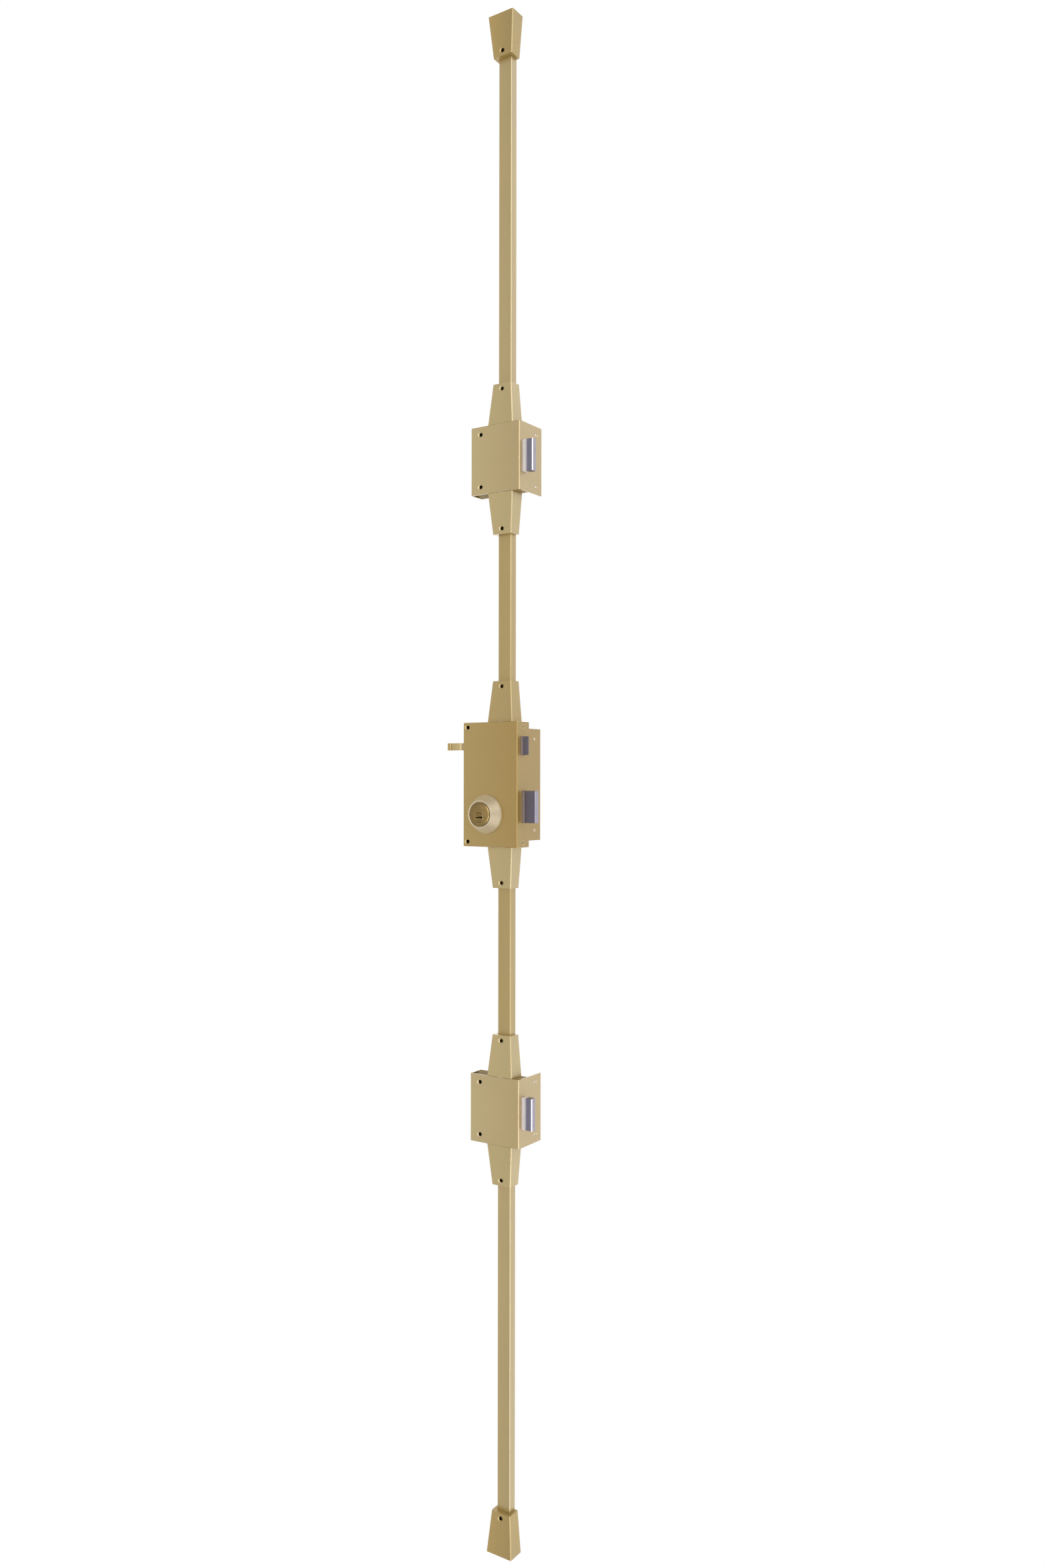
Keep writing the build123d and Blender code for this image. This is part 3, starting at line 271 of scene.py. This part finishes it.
def brass(name, colour, rough=0.3, centre=None):
    """Turned brass with a thin brown film, lighter where it is rubbed.

    centre is the (x, z) in mm that the tool marks run round.
    """
    g = Graph(name)
    g.set(Metallic=1.0)
    film = g.noise(130.0, 5.0, 0.62)
    if centre:
        tooling = g.rings(centre, 2600.0)
    else:
        tooling = g.noise(800.0, 2.0, 0.5, vector=g.stretched(1, 0.2, 1))
    tone = g.ramp(film, (0.3, shade(colour, 0.86)), (0.52, colour), (0.72, shade(colour, 1.14)))
    marks = g.ramp(tooling, (0.3, (0.93, 0.93, 0.93, 1.0)), (0.7, WHITE))
    g.join(g.times(tone, marks), g.shader.inputs["Base Color"])
    g.join(g.fit(film, rough + 0.07, rough - 0.05), g.shader.inputs["Roughness"])
    g.join(g.bump(tooling, 0.2, 0.00003), g.shader.inputs["Normal"])
    return g.material


def plastic(name, colour):
    """Moulded nylon with a fine matt grain."""
    g = Graph(name)
    g.set(IOR=1.5)
    grain = g.noise(1500.0, 3.0)
    tone = g.ramp(grain, (0.3, shade(colour, 0.85)), (0.7, shade(colour, 1.15)))
    g.join(tone, g.shader.inputs["Base Color"])
    g.join(g.fit(grain, 0.5, 0.66), g.shader.inputs["Roughness"])
    g.join(g.bump(grain, 0.3, 0.00005), g.shader.inputs["Normal"])
    return g.material


# Colours, among them one bronze paint in lighter and darker copies for the pieces, as painted
# light and shade; and the painted-shade leans that paint() moves them by
BOX = linear(194, 171, 115)
COVER = linear(191, 168, 107)
CHANNEL = linear(184, 158, 95)
LOW_CHANNEL = linear(174, 147, 75)
CASE = linear(180, 151, 78)
CASE_TOP = linear(182, 156, 94)
CAP = linear(183, 153, 82)
SHADED_BASE = linear(158, 134, 86)
PULL = linear(184, 160, 104)
ZINC = linear(186, 182, 172)
UPRIGHT = (1, 1, 0.05)  # brush lines along Z
INWARD = (1, 0.05, 1)  # brush lines along Y
EVEN = (1, 1, 1)  # no direction

# Painted shade: each lean darkens a paint across its piece, the pieces towards +X and the pull
# towards the case
cover_shade_lean = ("X", 0.4, 38.6, (0.9, 0.89, 0.86))
cap_shade_lean = ("X", 0.4, 38.6, (0.76, 0.78, 0.82))
channel_shade_lean = ("X", 9.0, 29.0, (0.9, 0.92, 0.97))
box_shade_lean = ("X", -27.5, 50.0, (0.84, 0.785, 0.66))
case_shade_lean = ("X", -37.0, 50.0, (0.82, 0.735, 0.32))
pull_shade_lean = ("X", -53.0, -45.0, (0.62, 0.62, 0.6))

# Painted reflections on a bolt's plating, by what it mirrors (sRGB)
MIRROR = (250, 247, 252)  # the white room
# EDGE paints a highlight on a bevel or an end
EDGE = (170, 164, 176)  # a bevel or an end
LILAC = (116, 113, 131)  # the room's far side
SLATE = (92, 86, 99)  # the same, on the duller plating
SHADOW = (120, 110, 100)  # the gold plate beside it

# Each bolt's painted reflections from its root to its end, as (X in mm, tone)
side_bolt_reflections = [
    (50.0, MIRROR), (54.0, MIRROR), (57.5, LILAC), (64.4, LILAC), (64.9, MIRROR), (66.0, EDGE),
]
dead_bolt_reflections = [(50.0, SHADOW), (51.0, EDGE), (55.0, SLATE), (69.4, SLATE), (70.0, EDGE)]
latch_reflections = [(50.0, SHADOW), (51.0, EDGE), (54.5, SLATE), (60.7, SLATE), (62.0, SHADOW)]

by_slot = {
    "bronze_paint": paint("bronze_gold_paint", BOX),
    "zinc_steel": brushed("zinc_plated_steel", ZINC, 0.36, UPRIGHT),
    "bolt_steel": banded("bright_bolt_steel", side_bolt_reflections, white_reflection_to=56.0),
    "gear_steel": brushed("gear_steel", linear(150, 148, 144), 0.3, EVEN, 0.7),
    "spring_steel": brushed("spring_steel", linear(190, 188, 184), 0.24, EVEN, 0.4),
    "cylinder_brass": brass("cylinder_brass", linear(132, 112, 73)),
    "guide_nylon": plastic("guide_nylon", linear(44, 44, 46)),
}
# The base plates' paint, darker, matt and without coat: painted shade where the plates are seen
# inside the boxes' open ends
shaded_base_paint = paint("shaded_base_paint", SHADED_BASE, 0.0, 0.6, coat=0.0, shine=0.12)
# The case's pillars painted near black: painted shade seen through the front screw holes
pillar_shade_steel = brushed("pillar_steel_painted_dark", linear(44, 40, 36), 0.5, INWARD)
box_paint = paint("box_paint", BOX, shade_leans=[box_shade_lean])
cover_paint = paint("cover_paint", COVER, shade_leans=[cover_shade_lean])
cap_paint = paint("cap_paint", CAP, coat=0.5, rough=0.5, shade_leans=[cap_shade_lean])
channel_paint = paint("channel_paint", CHANNEL, shade_leans=[channel_shade_lean])
low_channel_paint = paint("low_channel_paint", LOW_CHANNEL)
by_ending = {
    "_base": shaded_base_paint,
    "_pillars": pillar_shade_steel,
    "box_cover": box_paint,
    "box_top_cover": cover_paint,
    "box_bottom_cover": cover_paint,
    "_cap": cap_paint,
    "_channel": channel_paint,
}
by_name = {
    "case_cover": paint("case_paint", CASE, rough=0.4, coat=0.75, skin=0.12, shade_leans=[case_shade_lean]),
    "case_top_cover": paint("case_top_paint", CASE_TOP, coat=0.5, rough=0.5, shade_leans=[cover_shade_lean]),
    "case_bottom_cover": cover_paint,
    "upper_channel": low_channel_paint,
    "lower_channel": low_channel_paint,
    # Painted shade: the saddles dark behind the cover's screw holes
    "cover_saddles": brushed("saddle_steel", ZINC, 0.36, UPRIGHT, shade_past=14.0),
    # Painted shade: the screws' cross recesses dark below X 49.9 mm
    "side_screws": paint("screw_paint", CASE, shade_below=49.9),
    "latch_pull": paint("pull_paint", PULL, 0.45, 0.32, shade_leans=[pull_shade_lean]),
    "dead_bolt": banded("dead_bolt_steel", dead_bolt_reflections),
    "latch_bolt": banded("latch_steel", latch_reflections),
}


def look(name):
    """A node's own material, or the one of its kind, or else of its slot."""
    kind = next((ending for ending in by_ending if name.endswith(ending)), None)
    return by_name.get(name) or by_ending.get(kind) or by_slot[slot_of[name]]


for name, node in nodes.items():
    node.data.materials.clear()
    node.data.materials.append(look(name))


# Pieces
TURN_STEPS = 160  # facets of a turned piece
SHARP = math.radians(35.0)  # an edge that folds more than this stays crisp
CYLINDER_Z = 4.0  # height of the round body's axis over the key's, in mm
CASE_FRONT = 27.5  # depth of the case's front from the door, in mm


def smooth(data):
    """Shades a mesh smooth but for its sharp edges."""
    for face in data.polygons:
        face.use_smooth = True
    data.set_sharp_from_angle(angle=SHARP)


def new_piece(name, mesh):
    """Makes an object from a finished bmesh."""
    bmesh.ops.recalc_face_normals(mesh, faces=mesh.faces)
    data = bpy.data.meshes.new(name)
    mesh.to_mesh(data)
    mesh.free()
    piece = bpy.data.objects.new(name, data)
    bpy.context.collection.objects.link(piece)
    return piece


def lathe(name, outline, centre_z, material=None):
    """A turned ring about an axis square to the door, from (radius, depth) in mm."""
    mesh = bmesh.new()
    rings = []
    for radius, depth in outline:
        ring = []
        for i in range(TURN_STEPS):
            turn = 2 * math.pi * i / TURN_STEPS
            x, z = radius * math.cos(turn), centre_z + radius * math.sin(turn)
            ring.append(mesh.verts.new((x * MM, -depth * MM, z * MM)))
        rings.append(ring)
    for first, second in zip(rings, rings[1:] + rings[:1]):
        for i in range(TURN_STEPS):
            j = (i + 1) % TURN_STEPS
            mesh.faces.new((first[i], first[j], second[j], second[i]))
    piece = new_piece(name, mesh)
    smooth(piece.data)
    if material:
        piece.data.materials.append(material)
    return piece


def turned(name, outline, centre_z, material=None):
    """A turned solid, whose outline starts and ends on the axis."""
    piece = lathe(name, outline, centre_z, material)
    data = piece.data
    mesh = bmesh.new()
    mesh.from_mesh(data)
    bmesh.ops.remove_doubles(mesh, verts=mesh.verts, dist=1e-7)
    bmesh.ops.recalc_face_normals(mesh, faces=mesh.faces)
    mesh.to_mesh(data)
    mesh.free()
    return piece


def prism(name, outline, depths):
    """A straight block from an outline of (x, z) in mm, between two depths."""
    mesh = bmesh.new()
    near, far = (
        [mesh.verts.new((x * MM, -depth * MM, z * MM)) for x, z in outline] for depth in depths
    )
    mesh.faces.new(near)
    mesh.faces.new(list(reversed(far)))
    for i in range(len(outline)):
        j = (i + 1) % len(outline)
        mesh.faces.new((near[i], far[i], far[j], near[j]))
    return new_piece(name, mesh)


def cut(piece, tool):
    """Takes the tool's shape out of a piece and deletes the tool."""
    change = piece.modifiers.new("cut", "BOOLEAN")
    change.operation = "DIFFERENCE"
    change.solver = "EXACT"
    change.object = tool
    bpy.context.view_layer.update()
    changed = piece.evaluated_get(bpy.context.evaluated_depsgraph_get())
    result = bpy.data.meshes.new_from_object(changed)
    piece.modifiers.clear()
    piece.data = result
    bpy.data.objects.remove(tool)
    smooth(result)


def arc(centre, radius, start, end, steps):
    """Points on a circle of (radius, depth), between two angles in degrees."""
    turns = [math.radians(start + (end - start) * i / steps) for i in range(steps + 1)]
    return [(centre[0] + radius * math.cos(t), centre[1] + radius * math.sin(t)) for t in turns]


# Rose: a bead at its foot, a shallow groove, the cone and a rounded rim
rose_outline = (
    [(14.7, CASE_FRONT), (26.6, CASE_FRONT)]
    + arc((25.9, 28.2), 0.7, 0, 100, 8)
    + [(25.3, 29.0), (25.0, 29.25), (24.75, 29.6)]
    + [(24.6, 29.95), (18.75, 41.35)]
    + arc((17.75, 41.5), 1.0, 20, 115, 8)
    + [(16.7, 42.1), (16.5, 41.8), (16.5, 40.5), (14.7, 40.5)]
)
# Painted light and shade: a paler copy of the bronze paint, darker in the groove and bead at its
# foot and towards the cone's right side
rose_shade_leans = [("Y", -29.9, -29.1, (0.72, 0.64, 0.42)), ("X", 2.0, 16.0, (0.76, 0.77, 0.82))]
rose_paint = paint("rose_paint", linear(214, 196, 157), 0.15, 0.52, 0.4, 0.36, shade_leans=rose_shade_leans)
rose = lathe("rose_turned", rose_outline, CYLINDER_Z, rose_paint)
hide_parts("cylinder_rose")
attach(rose, "lock_body")


# Key cylinder: a flange with a bevelled edge, a fine turned line, and the bore of its plug
face_brass = brass("face_brass", linear(128, 107, 68), 0.34, centre=(0.0, CYLINDER_Z))
body_outline = [
    (0.0, 23.2), (11.5, 23.2), (11.5, CASE_FRONT), (14.4, CASE_FRONT), (14.4, 40.5), (15.6, 40.5),
    (15.6, 41.9), (15.45, 42.1), (14.75, 42.8), (14.55, 42.88), (14.0, 42.9), (13.9, 42.75),
    (13.7, 42.75), (13.6, 42.9), (13.3, 43.0), (0.0, 43.0),
]
bore_outline = [(0.0, 20.0), (6.58, 20.0), (6.58, 42.75), (6.85, 43.05), (6.85, 45.0), (0.0, 45.0)]
body = turned("cylinder_turned", body_outline, CYLINDER_Z, face_brass)
cut(body, turned("bore", bore_outline, 0.0))
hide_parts("cylinder_body")
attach(body, "lock_body")

# Plug: a bevelled face and a wavy keyway
plug_brass = brass("plug_brass", linear(120, 100, 62), 0.3, centre=(0.0, 0.0))
plug_outline = [
    (0.0, 22.0), (6.5, 22.0), (6.5, 42.75), (6.35, 43.0), (6.05, 43.25), (5.85, 43.3), (5.6, 43.3),
    (5.5, 43.2), (0.0, 43.2),
]
plug = turned("plug_turned", plug_outline, 0.0, plug_brass)
keyway = [
    (-5.5, -0.5), (-5.1, -0.95), (-4.2, -1.0), (-3.7, -0.55), (-2.9, -0.5), (-2.4, -1.05),
    (-0.6, -1.2), (0.0, -0.75), (0.5, -0.45), (1.2, -0.5), (1.7, -1.1), (4.4, -1.15), (5.1, -0.8),
    (5.4, -0.1), (5.2, 0.9), (4.4, 1.25), (3.0, 1.2), (2.5, 0.55), (1.9, 0.35), (1.3, 0.75),
    (0.7, 1.2), (-0.4, 1.15), (-0.9, 0.45), (-1.8, 0.15), (-3.4, 0.2), (-3.9, 0.65), (-5.0, 0.6),
    (-5.5, 0.1),
]
cut(plug, prism("keyway", keyway, (25.5, 46.0)))
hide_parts("cylinder_plug")
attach(plug, "key_plug")


# Latch spring, which shortens towards its bracket as the latch goes in: here a copy with a mesh of
# its own, on the lock body
coil = bpy.data.objects.new("latch_coil", nodes["latch_spring"].data.copy())
bpy.context.collection.objects.link(coil)
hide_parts("latch_spring")
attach(coil, "lock_body")
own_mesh(coil)


# Camera: the photograph's viewing angle, a little to the right of the lock's front
PHOTO_HEIGHT = 2352.0  # pixels
FOCAL_LENGTH = 1870.0  # pixels of the photograph
SENSOR = 36.0  # mm
yaw, pitch, roll = math.radians(33.7), math.radians(-0.03), math.radians(0.073)
level = math.cos(pitch)
forward = Vector((-math.sin(yaw) * level, math.cos(yaw) * level, math.sin(pitch)))
right = Vector((math.cos(yaw), math.sin(yaw), 0.0))
up = right.cross(forward)
right, up = (
    right * math.cos(roll) + up * math.sin(roll),
    up * math.cos(roll) - right * math.sin(roll),
)
camera_data = bpy.data.cameras.new("camera")
camera_data.sensor_fit = "VERTICAL"
camera_data.sensor_height = SENSOR
camera_data.lens = FOCAL_LENGTH / PHOTO_HEIGHT * SENSOR
camera_data.shift_x = 0.0005
camera_data.clip_start = 0.01
camera_data.clip_end = 50.0
camera = bpy.data.objects.new("camera", camera_data)
bpy.context.collection.objects.link(camera)
spot = Matrix.Translation((0.953, -1.371, 0.0448))
camera.matrix_world = spot @ Matrix((right, up, -forward)).transposed().to_4x4()
bpy.context.scene.camera = camera


# Light: an even studio, with soft boxes that only the gloss picks up
def panel(name, place, target, size, power, colour=(1.0, 1.0, 1.0), gloss_only=False):
    """A soft box of (width, height) in metres that faces its target and doesn't show."""
    data = bpy.data.lights.new(name, "AREA")
    data.shape = "RECTANGLE"
    data.size, data.size_y = size
    data.energy = power
    data.color = colour
    lamp = bpy.data.objects.new(name, data)
    bpy.context.collection.objects.link(lamp)
    place = Vector(place)
    lamp.location = place
    lamp.rotation_euler = (Vector(target) - place).to_track_quat("-Z", "Y").to_euler()
    lamp.visible_camera = False
    lamp.visible_diffuse = not gloss_only


MIDDLE_Z = 0.043  # half way up the lock
middle = (0.0, -0.02, MIDDLE_Z)
cool = (0.94, 0.98, 1.06)
panel("right", (1.93, -0.85, 0.04), middle, (0.4, 4.8), 5.5, cool)
panel("right_back", (1.3, 1.75, 0.04), middle, (0.8, 4.8), 5.0, cool)
panel("front", (-0.7, -2.6, 0.04), middle, (2.0, 4.0), 9.0)
panel("back", (-1.2, 2.3, 0.04), middle, (1.8, 4.0), 12.0)
panel("edge_line", (0.92, -1.9, 0.04), middle, (0.7, 4.8), 40.0, gloss_only=True)
for name, side in (("upper", 1), ("lower", -1)):
    height = MIDDLE_Z + side * 1.68
    place, target = (1.48, -0.27, height), (0.0, -0.01, height)
    panel(f"{name}_box", place, target, (2.4, 2.66), 80.0, gloss_only=True)

# Surround: plain white where it is seen, mirrored or looked through, and dimmer as a light
ROOM_LIGHT = 0.55
world = bpy.data.worlds.new("studio")
bpy.context.scene.world = world
world.use_nodes = True
tree = world.node_tree
tree.nodes.clear()


def background(strength):
    """A white surround of one strength."""
    node = tree.nodes.new("ShaderNodeBackground")
    node.inputs["Color"].default_value = WHITE
    node.inputs["Strength"].default_value = strength
    return node.outputs["Background"]


def either(first, second):
    """Whether a ray is of one kind or the other."""
    node = tree.nodes.new("ShaderNodeMath")
    node.operation = "MAXIMUM"
    tree.links.new(first, node.inputs[0])
    tree.links.new(second, node.inputs[1])
    return node.outputs["Value"]


ray = tree.nodes.new("ShaderNodeLightPath").outputs
mirrored = either(ray["Is Glossy Ray"], ray["Is Transmission Ray"])
mix = tree.nodes.new("ShaderNodeMixShader")
tree.links.new(either(ray["Is Camera Ray"], mirrored), mix.inputs["Fac"])
tree.links.new(background(ROOM_LIGHT), mix.inputs[1])
tree.links.new(background(1.0), mix.inputs[2])
out = tree.nodes.new("ShaderNodeOutputWorld")
tree.links.new(mix.outputs["Shader"], out.inputs["Surface"])

bpy.context.scene.view_settings.view_transform = "Standard"
